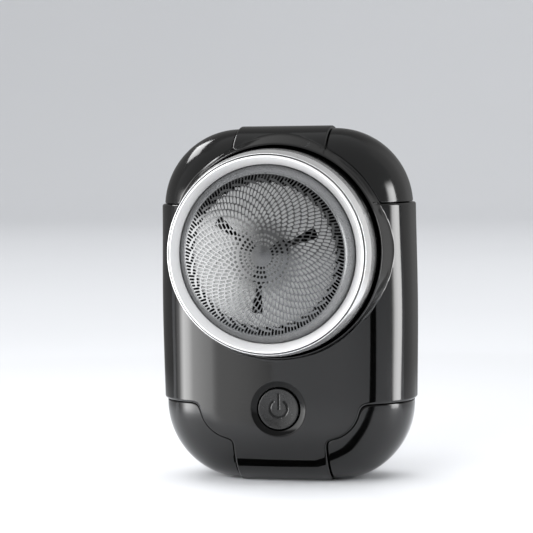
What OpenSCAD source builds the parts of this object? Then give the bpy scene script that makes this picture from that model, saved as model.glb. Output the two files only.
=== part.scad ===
// Pocket rotary shaver: a pebble-shaped case with one round foil head, standing on its bottom edge.
// Millimetres. X to the right, -Y out of the front, +Z up. The origin is the middle of the flat
// foot under the case, with Y = 0 close to the middle of the case's thickness.

/* [Case] */
// Width of the case
case_w = 47.8; // [46:0.1:50]
// Height of the case, from the flat foot to the top
case_h = 66.2; // [65:0.1:70]
// How far the front face lies in front of the origin
front_y = 13.1; // [12.8:0.1:14]
// How far the back face lies behind the origin
back_y = 10.4; // [10.2:0.1:12]
// Radius of the case's outline at its four corners
corner_r = 15; // [14:0.5:16]
// Radius of the rounding between the front face and the sides
front_rim_r = 12; // [11:0.1:12]
// Radius of the rounding between the back face and the sides
back_rim_r = 10; // [8:0.1:10]
// Wall thickness of the two shells
wall = 2.9; // [2.7:0.1:3.1]

/* [Corner guards] */
// How far the guards lie below the case's surface
guard_recess = 0.5; // [0.3:0.1:0.7]
// Thickness of a guard
guard_t = 1.2; // [0.9:0.1:1.3]
// Gap between a guard and the shells beside it
seam_gap = 0.1; // [0.05:0.05:0.15]
// Distance of the upright seams from the middle
seam_x = 8.7; // [8:0.1:9.5]
// Height of the lower level seams
seam_z_low = 15.2; // [14:0.1:16]
// Height of the upper level seams
seam_z_high = 51.85; // [51:0.05:53]

/* [Head] */
// Height of the head's axis above the foot
head_z = 43.35; // [43:0.05:44]
// Radius of the raised collar at its foot
collar_r = 20.8; // [20.5:0.1:21]
// Radius of the foil dome
foil_r = 14.45; // [14:0.05:15]
// Rise of the foil dome from its edge to its middle
foil_rise = 2.7; // [2:0.1:3]
// Travel of the cutter against its spring
cutter_float = 0.6; // [0.3:0.1:0.6]

/* [Power button] */
// Height of the button's middle
button_z = 14.35; // [14:0.05:15]
// Radius of the button's cap
button_r = 3.75; // [3.5:0.05:3.8]
// Radius of the bevelled dish around the button
dish_r = 5.2; // [5:0.1:6]

/* [Inside] */
// Radius of the motor's can
motor_r = 9; // [8:0.1:9]
// Radius of the motor's shaft
shaft_r = 1; // [0.8:0.05:1]
// Radius of the battery cell
cell_r = 7; // [6.5:0.1:7]
// Length of the battery cell
cell_l = 32.4; // [28:0.1:32.4]

/* [Hidden] */

round_fn = 96;
big = 100;

// The case blank reaches this far below the foot, which is cut flat across it
foot_cut = 0.7;
part_y = -0.6;
blank_h = case_h + foot_cut;
mid_z = case_h - blank_h / 2;
corner_x = case_w / 2 - corner_r;
corner_dz = blank_h / 2 - corner_r;
rebate = guard_recess + guard_t;
guard_foot = 0.3;

// Guard outline: a round nose of the main face bulges into each corner
nose_x = 8.5;
nose_r = 6.6;
nose_fillet_side = 1.5;
nose_fillet_end = 1.2;

// Places along Y in the head, front to back
foil_edge_y = -23.9;
foil_t = 0.3;
bezel_y = -23.1;
cup_y = -21.5;
band_y = -19.5;
base_y = -13.5;
spigot_y = -12.1;
deck_y = -11.9;
deck_back_y = -10.2;
collar_y = -13.9;
collar_in_r = 19.3;
collar_back_y = -7;

// The foil is part of a sphere about this centre
dome_r = (foil_r * foil_r + foil_rise * foil_rise) / (2 * foil_rise);
dome_y = foil_edge_y - foil_rise + dome_r;
blade_gap = 0.2;
blade_r = 13.9;
blade_t = 0.8;

// Motor
can_back_y = 3.2;
can_t = 0.5;
cap_back_y = 4.8;
bush_r = 2.9;

// Battery
cell_y = 0;
cell_z = 25.3;

// Control board, upright behind the button
board_y = -5.2;
board_t = 1;
board_w = 22;
board_z0 = 3.6;
board_z1 = 17;
switch_h = 3;
inlet_w = 8.94;
inlet_h = 3.2;
inlet_y = board_y + board_t + inlet_h / 2;

case_screw_x = 15.5;
case_screw_low = 9.5;
case_screw_high = 57.5;
frame_screw_x = 13.5;
frame_screw_z = 36.5;
board_screw_x = 8.5;
board_screw_z = 6;
motor_screw_r = 5.5;
magnet_ring_r = 16;
magnet_r = 1.4;

// Turns a profile of [radius, y] points about the head's axis
module turned(points) {
    translate([0, 0, head_z]) rotate([-90, 0, 0])
        rotate_extrude($fn = round_fn) polygon(points);
}

// Cylinder along Y, from y0 to y1
module rod_y(r, y0, y1, x = 0, z = head_z, fn = round_fn) {
    translate([x, y0, z]) rotate([-90, 0, 0]) cylinder(r = r, h = y1 - y0, $fn = fn);
}

// Ring about the Y direction, from y0 to y1
module ring_y(r_out, r_in, y0, y1, x = 0, z = head_z) {
    difference() {
        rod_y(r_out, y0, y1, x, z);
        rod_y(r_in, y0 - 1, y1 + 1, x, z);
    }
}

// Half of the case's edge in section: flat face at the top, rounded rim at the right
module rim_section(reach, depth, rim) {
    square([reach - rim, depth]);
    square([reach, depth - rim]);
    translate([reach - rim, depth - rim]) intersection() {
        circle(r = rim, $fn = round_fn);
        square(rim);
    }
}

// One half of the case blank, as thick as depth, on the plane Z = 0
module half_blank(depth, rim, inset) {
    reach = corner_r - inset;
    d = depth - inset;
    r = rim - inset;
    for (turn = [0, 180]) rotate([0, 0, turn]) {
        translate([corner_x, corner_dz, 0]) rotate_extrude(angle = 90, $fn = round_fn)
            rim_section(reach, d, r);
        translate([-corner_x, corner_dz, 0]) rotate([0, 0, 90])
            rotate_extrude(angle = 90, $fn = round_fn) rim_section(reach, d, r);
        translate([corner_x, corner_dz, 0]) rotate([90, 0, 0]) linear_extrude(2 * corner_dz)
            rim_section(reach, d, r);
        translate([-corner_x, corner_dz, 0]) rotate([90, 0, 90]) linear_extrude(2 * corner_x)
            rim_section(reach, d, r);
    }
    translate([-corner_x, -corner_dz, 0]) cube([2 * corner_x, 2 * corner_dz, d]);
}

module front_blank(inset) {
    translate([0, part_y, mid_z]) rotate([90, 0, 0])
        half_blank(front_y + part_y, front_rim_r, inset);
}

module rear_blank(inset) {
    translate([0, part_y, mid_z]) rotate([90, 0, 0]) mirror([0, 0, 1])
        half_blank(back_y - part_y, back_rim_r, inset);
}

function arc(cx, cz, r, a0, a1, n) =
    [for (i = [0:n]) [cx + r * cos(a0 + (a1 - a0) * i / n), cz + r * sin(a0 + (a1 - a0) * i / n)]];

// Outline of one corner zone, right-hand side, below the level z = 0 of the seam
module zone_outline(gap) {
    side_c = [nose_x + sqrt(pow(nose_r + nose_fillet_side, 2) - pow(nose_fillet_side, 2)),
        -nose_fillet_side];
    end_c = [seam_x + nose_fillet_end,
        -sqrt(pow(nose_r + nose_fillet_end, 2) - pow(seam_x + nose_fillet_end - nose_x, 2))];
    side_a = atan2(side_c[1], side_c[0] - nose_x);
    end_a = atan2(end_c[1], end_c[0] - nose_x);
    polygon(concat(
        [[30, -gap]],
        arc(side_c[0], side_c[1], nose_fillet_side - gap, 90, 180 + side_a, 6),
        arc(nose_x, 0, nose_r + gap, side_a, end_a, 10),
        arc(end_c[0], end_c[1], nose_fillet_end - gap, 180 + end_a, 180, 6),
        [[seam_x + gap, -30], [30, -30]]));
}

// Prism through the whole case over one corner zone
module corner_zone(gap, side, top) {
    translate([0, 20, top ? seam_z_high : seam_z_low]) mirror([side < 0 ? 1 : 0, 0, 0])
        mirror([0, 0, top ? 1 : 0]) rotate([90, 0, 0]) linear_extrude(40) zone_outline(gap);
}

module all_corner_zones() {
    for (side = [-1, 1]) {
        corner_zone(0, side, false);
        difference() {
            corner_zone(0, side, true);
            rod_y(collar_r, -25, -5);
        }
    }
}

module foot_plane(z) {
    translate([-big / 2, -big / 2, z - 10]) cube([big, big, 10]);
}

module at_case_screws() {
    for (side = [-1, 1], z = [case_screw_low, case_screw_high]) translate([side * case_screw_x, 0, z])
        children();
}

// Rounded slot for the charging plug, through the foot
module inlet_slot(w, h, z0, z1) {
    translate([0, inlet_y, z0]) linear_extrude(z1 - z0) {
        square([w - h, h], center = true);
        for (side = [-1, 1]) translate([side * (w - h) / 2, 0]) circle(d = h, $fn = 48);
    }
}

charge_light_x = 6.2;
charge_light_r = 0.7;

module foot_openings() {
    inlet_slot(inlet_w + 0.4, inlet_h + 0.4, -1, 3);
    translate([charge_light_x, inlet_y, -1]) cylinder(r = charge_light_r, h = 5, $fn = 32);
}

// Groove for the seal, half in each shell
seal_w = 0.6;
seal_t = 0.5;
seal_inset = 2;

module seal_outline(inset) {
    r = corner_r - inset;
    square([2 * (corner_x + r), 2 * corner_dz], center = true);
    square([2 * corner_x, 2 * (corner_dz + r)], center = true);
    for (sx = [-1, 1], sz = [-1, 1]) translate([sx * corner_x, sz * corner_dz])
        circle(r = r, $fn = round_fn);
}

module case_seal_body() {
    translate([0, part_y + seal_t / 2, mid_z]) rotate([90, 0, 0]) linear_extrude(seal_t)
        difference() {
            seal_outline(seal_inset);
            seal_outline(seal_inset + seal_w);
        }
}

module shell_boss(r, y0, y1, x, z) {
    rod_y(r, y0, y1, x, z, 48);
}

module front_shell() {
    color([0.20, 0.20, 0.21]) difference() {
        union() {
            difference() {
                union() {
                    difference() {
                        front_blank(0);
                        difference() {
                            all_corner_zones();
                            front_blank(rebate);
                        }
                    }
                    // raised collar, and the deck that carries the motor
                    turned([[0, collar_y], [19.6, collar_y], [collar_r, -9.1],
                        [collar_r, collar_back_y], [0, collar_back_y]]);
                }
                front_blank(wall);
            }
            intersection() {
                front_blank(rebate + 0.3);
                union() {
                    at_case_screws() shell_boss(2.2, -12, part_y, 0, 0);
                    for (side = [-1, 1]) {
                        shell_boss(2, -12, -6.2, side * frame_screw_x, frame_screw_z);
                        shell_boss(1.6, -12, board_y, side * board_screw_x, board_screw_z);
                    }
                }
            }
        }
        turned([[0, -15], [collar_in_r, -15], [collar_in_r, deck_y], [0, deck_y]]);
        rod_y(bush_r + 0.05, -13, -9);
        for (side = [-1, 1]) {
            rod_y(0.85, -13, -9, side * motor_screw_r, head_z, 32);
            rod_y(0.8, -9.5, -5, side * frame_screw_x, frame_screw_z, 32);
            rod_y(0.8, board_y - 2.8, -2, side * board_screw_x, board_screw_z, 32);
        }
        for (a = [45:90:315])
            rod_y(magnet_r + 0.05, -13, deck_y + 1.2, magnet_ring_r * cos(a),
                head_z + magnet_ring_r * sin(a), 48);
        at_case_screws() rod_y(1.02, -6.6, 2, 0, 0, 32);
        // bevelled dish, the hole for the button and the seat of its seal
        rod_y(5.6, deck_back_y, -8, 0, button_z);
        translate([0, 0, button_z - head_z]) turned([[0, -14], [dish_r + 0.9, -14],
            [dish_r, -front_y], [4.05, -12.4], [4.05, -9], [0, -9]]);
        foot_openings();
        foot_plane(0);
        case_seal_body();
    }
}

module rear_shell() {
    color([0.17, 0.17, 0.18]) difference() {
        union() {
            difference() {
                rear_blank(0);
                rear_blank(wall);
                difference() {
                    all_corner_zones();
                    rear_blank(rebate);
                }
            }
            intersection() {
                rear_blank(rebate + 0.3);
                at_case_screws() rod_y(2.6, part_y, 10, 0, 0, 48);
            }
        }
        at_case_screws() {
            rod_y(1.1, -3, 9, 0, 0, 32);
            rod_y(1.9, 4.7, 11, 0, 0, 48);
        }
        foot_openings();
        foot_plane(0);
        case_seal_body();
    }
}

module corner_guard(side, top) {
    difference() {
        intersection() {
            union() {
                difference() {
                    front_blank(guard_recess);
                    front_blank(rebate);
                }
                difference() {
                    rear_blank(guard_recess);
                    rear_blank(rebate);
                }
            }
            corner_zone(seam_gap, side, top);
        }
        rod_y(collar_r + seam_gap, -25, -5);
        foot_plane(guard_foot);
    }
}

module corner_guard_top_left() {
    color([0.13, 0.13, 0.14]) corner_guard(-1, true);
}

module corner_guard_top_right() {
    color([0.13, 0.13, 0.14]) corner_guard(1, true);
}

module corner_guard_bottom_left() {
    color([0.13, 0.13, 0.14]) corner_guard(-1, false);
}

module corner_guard_bottom_right() {
    color([0.13, 0.13, 0.14]) corner_guard(1, false);
}

module case_seal() {
    color("dimgray") case_seal_body();
}

// Pan-head screw along Y: the head's underside at y, the shank running towards the front
module screw(r, head_r, head_h, length, y) {
    rod_y(r, y - length, y, 0, 0, 32);
    difference() {
        rod_y(head_r, y, y + head_h, 0, 0, 48);
        for (a = [0, 90]) rotate([0, a, 0]) translate([-head_r * 0.6, y + head_h * 0.45, -0.2])
            cube([head_r * 1.2, head_h, 0.4]);
    }
}

module case_screws() {
    color("silver") at_case_screws() screw(1, 1.7, 1.2, 11, 4.7);
}

// Chassis: a trough for the battery, a ring round the motor and two ears on the front shell
module inner_frame() {
    trough_x = cell_l / 2 + 1.6;
    trough_front = -7.5;
    color([0.85, 0.85, 0.83]) difference() {
        union() {
            translate([-trough_x, trough_front, cell_z - 7.8])
                cube([2 * trough_x, cell_y - trough_front + 0.4, 16]);
            rod_y(motor_r + 1.4, -6.2, -1.5);
            translate([-frame_screw_x, -6.2, frame_screw_z - 2])
                cube([2 * frame_screw_x, 1.5, 4]);
            for (side = [-1, 1]) rod_y(2, -6.2, -4.7, side * frame_screw_x, frame_screw_z, 48);
        }
        translate([-cell_l / 2 - 0.4, cell_y, cell_z]) rotate([0, 90, 0])
            cylinder(r = cell_r + 0.1, h = cell_l + 0.8, $fn = round_fn);
        rod_y(motor_r + 0.1, -7, 0);
        for (side = [-1, 1]) rod_y(0.9, -7, -4, side * frame_screw_x, frame_screw_z, 32);
    }
}

module frame_screws() {
    color("silver") for (side = [-1, 1]) translate([side * frame_screw_x, 0, frame_screw_z])
        screw(0.78, 1.4, 0.9, 4.4, -4.7);
}

module motor_can() {
    color("gainsboro") difference() {
        rod_y(motor_r, deck_back_y, can_back_y);
        rod_y(motor_r - can_t, deck_back_y + can_t, can_back_y + 1);
        rod_y(bush_r, -12, -8);
        for (side = [-1, 1]) rod_y(0.7, -12, -9, side * motor_screw_r, head_z, 32);
    }
}

module motor_magnets() {
    color("darkslategray") for (turn = [0, 180]) intersection() {
        ring_y(motor_r - can_t, motor_r - 2.2, -8, 1.5);
        translate([0, 0, head_z]) rotate([0, turn, 0]) translate([2, -8, -6])
            cube([10, 9.5, 12]);
    }
}

module motor_end_cap() {
    color("white") difference() {
        union() {
            rod_y(motor_r, can_back_y, cap_back_y);
            rod_y(motor_r - can_t, can_back_y - 1, can_back_y);
            for (side = [-1, 1]) translate([side * 4 - 0.9, cap_back_y, head_z - 6])
                cube([1.8, 0.8, 1.2]);
        }
        rod_y(shaft_r + 0.03, 0, 7, 0, head_z, 48);
    }
}

module motor_bush() {
    color("peru") ring_y(bush_r, shaft_r + 0.03, deck_y + 0.3, -9.2);
}

module motor_screws() {
    color("silver") for (side = [-1, 1]) translate([side * motor_screw_r, 0, head_z])
        mirror([0, 1, 0]) screw(0.68, 1.3, 0.5, 2.2, -deck_y);
}

module shaft_seal() {
    color("dimgray") ring_y(4, shaft_r + 0.1, deck_y - 0.6, deck_y);
}

module battery_cell() {
    color("royalblue") translate([-cell_l / 2, cell_y, cell_z]) rotate([0, 90, 0]) {
        cylinder(r = cell_r, h = cell_l, $fn = round_fn);
    }
}

module battery_tabs() {
    color("silver") for (side = [-1, 1]) translate([side * (cell_l / 2 + 0.1), cell_y, cell_z])
        translate([-0.1, -2, -4]) cube([0.2, 4, 8]);
}

// Tube of radius r along a list of points, for wire that never runs parallel to Y
module swept(points, r, sides) {
    last = len(points) - 1;
    rings = [for (i = [0:last]) let (
        along = points[min(i + 1, last)] - points[max(i - 1, 0)],
        t = along / norm(along),
        across = cross(t, [0, 1, 0]),
        a = across / norm(across),
        b = cross(a, t)
    ) for (s = [0:sides - 1])
        points[i] + r * (cos(s * 360 / sides) * a + sin(s * 360 / sides) * b)];
    walls = [for (i = [0:last - 1], s = [0:sides - 1]) let (next = (s + 1) % sides)
        [i * sides + s, i * sides + next, (i + 1) * sides + next, (i + 1) * sides + s]];
    ends = [[for (s = [sides - 1:-1:0]) s], [for (s = [0:sides - 1]) last * sides + s]];
    polyhedron(rings, concat(walls, ends), convexity = 8);
}

lead_r = 0.45;

module battery_leads() {
    color("red") for (side = [-1, 1])
        swept([[side * 17.2, 1, 21.2], [side * 18.4, 1.4, 20.4], [side * 18.6, 1.8, 18.6],
            [side * 17, 1.4, 16.6], [side * 13, 0, 15.4],
            [side * 9.8, board_y + board_t + 0.5, 14.6]], lead_r, 8);
}

module motor_leads() {
    color("black") for (side = [-1, 1])
        swept([[side * 5.2, 5.4, head_z - 5.4], [side * 12, 5.2, head_z - 5.8],
            [side * 17.4, 4.6, head_z - 8.4], [side * 19.2, 4, 31], [side * 19.4, 3.6, cell_z],
            [side * 19, 3.2, 19], [side * 16.4, 2.4, 14.4], [side * 13, 0, 12.4],
            [side * 9.8, board_y + board_t + 0.5, 11.6]], lead_r, 8);
}

module control_board() {
    color("seagreen") difference() {
        union() {
            translate([-board_w / 2, board_y, board_z0]) cube([board_w, board_t, board_z1 - board_z0]);
            translate([1, board_y + board_t, 10.5]) cube([4, 0.9, 4]);
            for (x = [-6, -3.6]) translate([x, board_y + board_t, 11]) cube([1.2, 0.6, 2.4]);
        }
        for (side = [-1, 1]) rod_y(0.9, board_y - 1, 0, side * board_screw_x, board_screw_z, 32);
    }
}

module board_screws() {
    color("silver") for (side = [-1, 1]) translate([side * board_screw_x, 0, board_screw_z])
        screw(0.78, 1.3, 0.8, 3.6, board_y + board_t);
}

module tact_switch() {
    color("dimgray") difference() {
        translate([-2.25, board_y - switch_h, button_z - 2.25]) cube([4.5, switch_h, 4.5]);
        rod_y(1.4, board_y - switch_h - 1, board_y - switch_h + 1.2, 0, button_z, 48);
    }
}

module charge_led() {
    color("lightyellow") translate([charge_light_x - 0.8, board_y + board_t, 4.4])
        cube([1.6, 2.2, 0.8]);
}

module charge_light() {
    color("white") translate([charge_light_x, inlet_y, 0.1])
        cylinder(r = charge_light_r, h = 4.2, $fn = 32);
}

module charging_inlet() {
    color("silver") difference() {
        inlet_slot(inlet_w, inlet_h, 0.5, 7.8);
        inlet_slot(inlet_w - 0.6, inlet_h - 0.6, -1, 7.3);
    }
}

module inlet_tongue() {
    color([0.1, 0.1, 0.1]) translate([-3.3, inlet_y - 0.35, 1.2]) cube([6.6, 0.7, 6.1]);
}

module head_magnets() {
    color("silver") for (a = [45:90:315])
        rod_y(magnet_r, deck_y, deck_y + 1.2, magnet_ring_r * cos(a),
            head_z + magnet_ring_r * sin(a), 48);
}

module button_seal() {
    color("dimgray") ring_y(5.5, 4.7, deck_back_y, deck_back_y + 0.9, 0, button_z);
}

module motor_shaft() {
    color("silver") rod_y(shaft_r, -17, 6, 0, head_z, 48);
}

module motor_armature() {
    color("sienna") difference() {
        union() {
            rod_y(motor_r - 2.6, -7.6, 1);
            rod_y(2.2, 1, 1.9, 0, head_z, 48);
        }
        for (a = [0:60:300]) translate([0, 0, head_z]) rotate([0, a, 0])
            translate([4.5, -8, -0.4]) cube([4, 10, 0.8]);
        rod_y(shaft_r, -9, 3, 0, head_z, 48);
    }
}

flange_y = -13.1;
spring_seat_y = -14.6;
drive_tip_y = -20.7;
drive_w = 3.4;

// Coupler on the shaft: a flange under the spring and a square drive
module drive_coupler() {
    color("white") difference() {
        union() {
            rod_y(5.8, spring_seat_y, flange_y);
            translate([-drive_w / 2, drive_tip_y, head_z - drive_w / 2])
                cube([drive_w, spring_seat_y - drive_tip_y, drive_w]);
        }
        rod_y(shaft_r, -17, -12, 0, head_z, 48);
    }
}

spring_r = 5;
spring_wire_r = 0.22;
spring_turns = 4;
spring_front_y = -19.95;
spring_step = 18;

module cutter_spring() {
    count = spring_turns * 360 / spring_step;
    y0 = spring_front_y + spring_wire_r + 0.03;
    y1 = spring_seat_y - spring_wire_r - 0.03;
    color("silver") swept([for (i = [0:count]) [spring_r * cos(i * spring_step),
        y0 + (y1 - y0) * i / count, head_z + spring_r * sin(i * spring_step)]], spring_wire_r, 8);
}

// Carrier: a hub with a square socket and a ring of three arms under the blades
module cutter_carrier() {
    color("white") difference() {
        union() {
            turned([[0, -24.2], [4.3, -24.2], [4.3, -22.2], [6.6, -22.2], [6.6, -20.2],
                [4.3, -20.2], [4.3, spring_seat_y - cutter_float - 1],
                [0, spring_seat_y - cutter_float - 1]]);
            for (a = [0:120:240]) translate([0, 0, head_z]) rotate([0, a, 0])
                translate([5, -22.2, -2.4]) cube([6.5, 2, 4.8]);
            ring_y(12.9, 10.5, -22.2, -20.2);
        }
        translate([-drive_w / 2 - 0.2, drive_tip_y - cutter_float - 0.3, head_z - drive_w / 2 - 0.2])
            cube([drive_w + 0.4, 7, drive_w + 0.4]);
    }
}

// Profile between two spheres about the foil's centre, from radius r0 to r1
function shell_profile(r_outer, r_inner, r0, r1, n) = concat(
    [for (i = [0:n]) let (r = r0 + (r1 - r0) * i / n) [r, dome_y - sqrt(r_outer * r_outer - r * r)]],
    [for (i = [n:-1:0]) let (r = r0 + (r1 - r0) * i / n) [r, dome_y - sqrt(r_inner * r_inner - r * r)]]);

module cutter_blades() {
    r_top = dome_r - foil_t - blade_gap;
    gap_w = 2.2;
    color("silver") difference() {
        union() {
            turned(shell_profile(r_top, r_top - blade_t, 1.6, blade_r, 12));
            for (a = [60:120:300]) translate([0, 0, head_z]) rotate([0, a, 0])
                translate([6, -24.4, -2]) cube([5, 2.2, 4]);
        }
        for (a = [0:120:240]) translate([0, 0, head_z]) rotate([0, a, 0])
            translate([2.2, -27, -gap_w / 2]) cube([14, 6, gap_w]);
    }
}

module head_base_ring() {
    color([0.06, 0.06, 0.06]) turned([[17, band_y], [18.65, band_y], [19.05, base_y],
        [18.3, base_y], [18.3, spigot_y], [17.3, spigot_y], [17.3, spigot_y - 0.9],
        [14.8, spigot_y - 0.9], [14.8, spigot_y - 2.1], [17, spigot_y - 2.1]]);
}

module head_band() {
    color("gainsboro") turned([[17.85, -22.6], [18.02, -22.6], [18.65, band_y - 0.2],
        [18.65, band_y], [17.85, band_y]]);
}

module head_bezel() {
    color("whitesmoke") turned([[16.05, cup_y], [17.5, bezel_y], [17.68, bezel_y], [17.8, -22.9],
        [17.8, band_y], [17, band_y], [17, -20.2], [16.05, -20.2]]);
}

module foil_cup() {
    color("silver") turned([[foil_r, foil_edge_y], [foil_r + 0.15, foil_edge_y], [16, cup_y],
        [16, -20.2], [16.9, -20.2], [16.9, -19.8], [foil_r, -19.8]]);
}

module shaving_foil() {
    color("lightgray") turned(shell_profile(dome_r, dome_r - foil_t, 0, foil_r, 16));
}

module foil_retainer() {
    color([0.1, 0.1, 0.1]) turned([[14.6, -19.8], [16.95, -19.8], [16.95, -16.5], [16.3, -16.5],
        [16.3, -18.8], [14.6, -18.8]]);
}

module keeper_ring() {
    color("silver") ring_y(17.25, 14.8, spigot_y - 0.9, spigot_y);
}

// Button cap with a raised power sign
module button_cap() {
    color([0.18, 0.18, 0.19]) {
        rod_y(button_r, -12.9, -11.4, 0, button_z);
        rod_y(3.6, -11.4, -9.5, 0, button_z);
        rod_y(4.5, -10, -9.4, 0, button_z);
        rod_y(1.2, -9.4, -8.9, 0, button_z, 48);
        difference() {
            ring_y(1.95, 1.5, -13, -12.9, 0, button_z - 0.2);
            translate([-1.2, -14, button_z]) cube([2.4, 3, 3]);
        }
        translate([-0.22, -13, button_z]) cube([0.44, 0.1, 2.2]);
    }
}

module switch_plunger() {
    color("white") rod_y(1.25, -8.9, -7.7, 0, button_z, 48);
}

front_shell();
rear_shell();
corner_guard_top_left();
corner_guard_top_right();
corner_guard_bottom_left();
corner_guard_bottom_right();
case_seal();
case_screws();
inner_frame();
frame_screws();
motor_can();
motor_magnets();
motor_end_cap();
motor_bush();
motor_screws();
shaft_seal();
battery_cell();
battery_tabs();
battery_leads();
motor_leads();
control_board();
board_screws();
tact_switch();
charge_led();
charge_light();
charging_inlet();
inlet_tongue();
head_magnets();
button_seal();
motor_shaft();
motor_armature();
drive_coupler();
cutter_spring();
cutter_carrier();
cutter_blades();
head_base_ring();
head_band();
head_bezel();
foil_cup();
shaving_foil();
foil_retainer();
keeper_ring();
button_cap();
switch_plunger();
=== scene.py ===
"""Looks of a pocket rotary shaver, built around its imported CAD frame.

Lengths are in millimetres until to_object(), and in metres on the stage.
"""

import math

import bpy
import numpy as np
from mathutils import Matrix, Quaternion, Vector
from mathutils.geometry import delaunay_2d_cdt
from mathutils.kdtree import KDTree

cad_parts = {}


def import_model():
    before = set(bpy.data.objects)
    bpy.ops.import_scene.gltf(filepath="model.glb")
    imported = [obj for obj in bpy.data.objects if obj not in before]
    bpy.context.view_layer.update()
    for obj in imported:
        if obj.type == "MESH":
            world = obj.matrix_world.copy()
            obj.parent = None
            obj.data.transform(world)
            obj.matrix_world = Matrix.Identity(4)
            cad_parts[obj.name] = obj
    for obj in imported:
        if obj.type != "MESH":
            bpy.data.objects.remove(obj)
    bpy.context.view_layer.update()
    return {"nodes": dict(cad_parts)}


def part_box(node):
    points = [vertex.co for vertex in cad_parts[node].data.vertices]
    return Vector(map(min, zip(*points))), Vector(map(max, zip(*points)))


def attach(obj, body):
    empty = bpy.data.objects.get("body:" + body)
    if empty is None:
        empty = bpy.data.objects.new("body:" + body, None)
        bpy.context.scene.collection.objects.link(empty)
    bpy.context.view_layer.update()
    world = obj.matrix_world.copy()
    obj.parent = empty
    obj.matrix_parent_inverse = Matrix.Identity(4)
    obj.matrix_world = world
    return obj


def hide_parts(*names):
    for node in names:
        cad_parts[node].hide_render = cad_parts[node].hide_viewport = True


MM = 0.001
FRONT = -1
REAR = 1

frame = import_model()


def node_box(node):
    """Lowest and highest corner of a CAD node, in millimetres."""
    low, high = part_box(node)
    return low / MM, high / MM


# Case sizes, read from the frame
rear_low, rear_high = node_box("rear_shell")
guard_low, guard_high = node_box("corner_guard_bottom_right")
top_guard_low, _ = node_box("corner_guard_top_right")
ring_low, ring_high = node_box("head_base_ring")
cap_low, cap_high = node_box("button_cap")
foil_low, foil_high = node_box("shaving_foil")
shell_low, _ = node_box("front_shell")

HALF_W = rear_high.x
TOP_Z = rear_high.z
PART_Y = rear_low.y
BACK_Y = rear_high.y
RECESS = HALF_W - guard_high.x
FRONT_Y = cap_low.y - 0.1
HEAD_Z = (ring_low.z + ring_high.z) / 2
BUTTON_Z = (cap_low.z + cap_high.z) / 2
BUTTON_R = 3.75
COLLAR_Y = shell_low.y

# Case shape
GAP = 0.1
SEAM_X = guard_low.x - GAP
SEAM_LOW = guard_high.z + GAP
SEAM_HIGH = top_guard_low.z - GAP
CORNER_R = 15.0
RIM = {FRONT: 12.0, REAR: 10.0}
FACE_Y = {FRONT: FRONT_Y, REAR: BACK_Y}
FOOT_CUT = 0.7
WALL = 2.9
REBATE = 1.7
GUARD_FOOT = 0.3
NOSE_X = 8.5
NOSE_R = 6.6
MID_Z = (TOP_Z - FOOT_CUT) / 2
CORE_X = HALF_W - CORNER_R
CORE_Z = (TOP_Z + FOOT_CUT) / 2 - CORNER_R
SHELL_EDGE_R = 0.45
GUARD_EDGE_R = 0.3
PART_EDGE_R = 0.14
CROWN = 0.5
CROWN_X = 11.5
SIDE_BULGE = 0.25
CURVE_EASE = 2.0

# Collar and well of the head, on the head's axis
COLLAR_R = 20.8
WELL_R = 19.3
DECK_Y = -11.9
COLLAR_FOOT_Y = -9.1
COLLAR_BLEND = 0.7
CREST_R = 19.48
CREST_INNER_W = 0.15
CREST_INNER_DROP = 0.24
CREST_OUTER_W = 0.33
CREST_OUTER_DROP = 0.5
CREST_POWER = 2.8
CREST_RADII = [CREST_R - CREST_INNER_W * k / 3 for k in (3, 2, 1)]
CREST_RADII += [CREST_R + CREST_OUTER_W * k / 5 for k in range(6)]
BUSH_HOLE_R = 2.92
MAGNET_RING_R = 16.0
MAGNET_HOLE_R = 1.46
MAGNET_DEPTH = 1.25
HOLE_STEP = 0.04

# Button dish
DISH_R = 5.2
DISH_HOLE_R = 4.05
DISH_Y = -12.55

# Charging port in the foot
PORT_Y = -2.6
PORT_W = 9.34
PORT_H = 3.6
LIGHT_X = 6.2
LIGHT_R = 0.72


# ---------------------------------------------------------------- case surface

def rim_table(side):
    """Table of the case's section: arc length, distance out from the core and depth behind the face."""
    rim = RIM[side]
    depth = abs(FACE_Y[side] - PART_Y)
    flat = CORNER_R - rim
    end = flat + rim * math.pi / 2
    s = np.linspace(0, end + (depth - rim), 2400)
    ease_in = np.clip((s - flat + CURVE_EASE / 2) / CURVE_EASE, 0, 1)
    ease_out = np.clip((end + CURVE_EASE / 4 - s) / (CURVE_EASE / 2), 0, 1)
    curvature = np.minimum(ease_in, ease_out)
    angle = np.concatenate([[0], np.cumsum(curvature[1:] + curvature[:-1])])
    angle = angle / angle[-1] * math.pi / 2
    step = s[1] - s[0]
    out = np.concatenate([[0], np.cumsum(np.cos(angle[1:]) + np.cos(angle[:-1]))]) * step / 2
    back = np.concatenate([[0], np.cumsum(np.sin(angle[1:]) + np.sin(angle[:-1]))]) * step / 2
    return s, out * CORNER_R / out[-1], back * depth / back[-1], angle


TABLES = {side: rim_table(side) for side in (FRONT, REAR)}
REACH = {side: TABLES[side][0][-1] for side in (FRONT, REAR)}


def split(u, v):
    """Core point, direction and distance of unrolled points."""
    cu = np.clip(u, -CORE_X, CORE_X)
    cv = np.clip(v, -CORE_Z, CORE_Z)
    du = u - cu
    dv = v - cv
    s = np.hypot(du, dv)
    safe = np.maximum(s, 1e-9)
    return cu, cv, du / safe, dv / safe, s


def base(u, v, side):
    """Points and normals of the plain case at unrolled points (u, v)."""
    cu, cv, du, dv, s = split(u, v)
    table_s, out, back, angle = TABLES[side]
    r = np.interp(s, table_s, out)
    extra = np.maximum(s - REACH[side], 0)
    t = np.interp(s, table_s, back) + extra
    a = np.interp(s, table_s, angle)
    points = np.stack([cu + du * r, FACE_Y[side] - side * t, MID_Z + cv + dv * r], -1)
    normals = np.stack([du * np.sin(a), side * np.cos(a), dv * np.sin(a)], -1)
    return points, normals


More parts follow.
